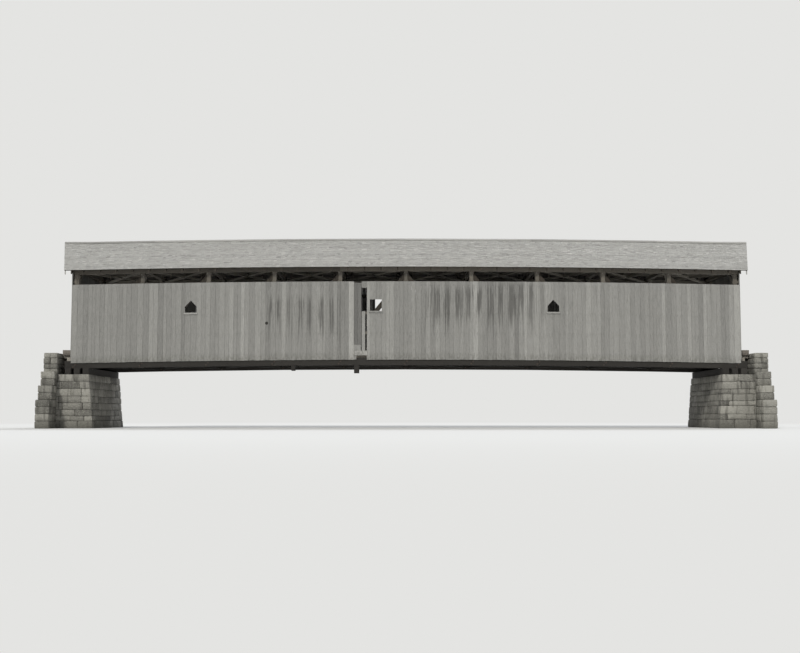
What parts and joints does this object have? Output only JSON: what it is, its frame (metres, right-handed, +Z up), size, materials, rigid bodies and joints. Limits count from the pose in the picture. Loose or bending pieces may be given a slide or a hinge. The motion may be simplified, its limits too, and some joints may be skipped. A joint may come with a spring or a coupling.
{
  "type": "covered timber road bridge",
  "caption": "Long covered timber bridge: boarded kingpost trusses under a gable roof with raked ends, open under the eaves, on battered stone abutments.",
  "frame": {"origin": "centre of the ground plan, at the foot of the abutments", "axes": "+X along the bridge, to the right as the picture shows it; +Y across it, away from the viewer; +Z up"},
  "size_m": [36.4, 8.7, 10.0678],
  "materials": {
    "siding_boards": "weathered",
    "patch_timber": "weathered",
    "truss_timber": "rough sawn",
    "dark_timber": "damp and dark",
    "floor_planks": "worn",
    "roof_shingles": "weathered",
    "rubble_stone": "rough"
  },
  "bodies": {
    "root": {"left_abutment": "rubble_stone", "right_abutment": "rubble_stone", "left_wing_walls": "rubble_stone", "right_wing_walls": "rubble_stone", "left_bed_timbers": "dark_timber", "right_bed_timbers": "dark_timber", "near_bottom_chord": "dark_timber", "far_bottom_chord": "dark_timber", "near_posts": "truss_timber", "far_posts": "truss_timber", "near_braces": "truss_timber", "far_braces": "truss_timber", "near_top_chord": "truss_timber", "far_top_chord": "truss_timber", "floor_beams": "truss_timber", "stringers": "truss_timber", "deck": "floor_planks", "wheel_guards": "floor_planks", "lower_laterals": "dark_timber", "needle_beams": "dark_timber", "tie_beams": "truss_timber", "knee_braces": "truss_timber", "upper_laterals": "truss_timber", "near_rafters": "truss_timber", "far_rafters": "truss_timber", "near_roof": "roof_shingles", "far_roof": "roof_shingles", "ridge_boards": "roof_shingles", "left_verge": "siding_boards", "right_verge": "siding_boards", "near_girts": "truss_timber", "far_girts": "truss_timber", "near_siding": "siding_boards", "far_siding": "siding_boards", "patch_boards": "patch_timber", "window_sills": "siding_boards", "left_portal_frame": "truss_timber", "right_portal_frame": "truss_timber", "left_portal_boards": "siding_boards", "right_portal_boards": "siding_boards", "left_gable_boards": "siding_boards", "right_gable_boards": "siding_boards"}
  },
  "joints": []
}
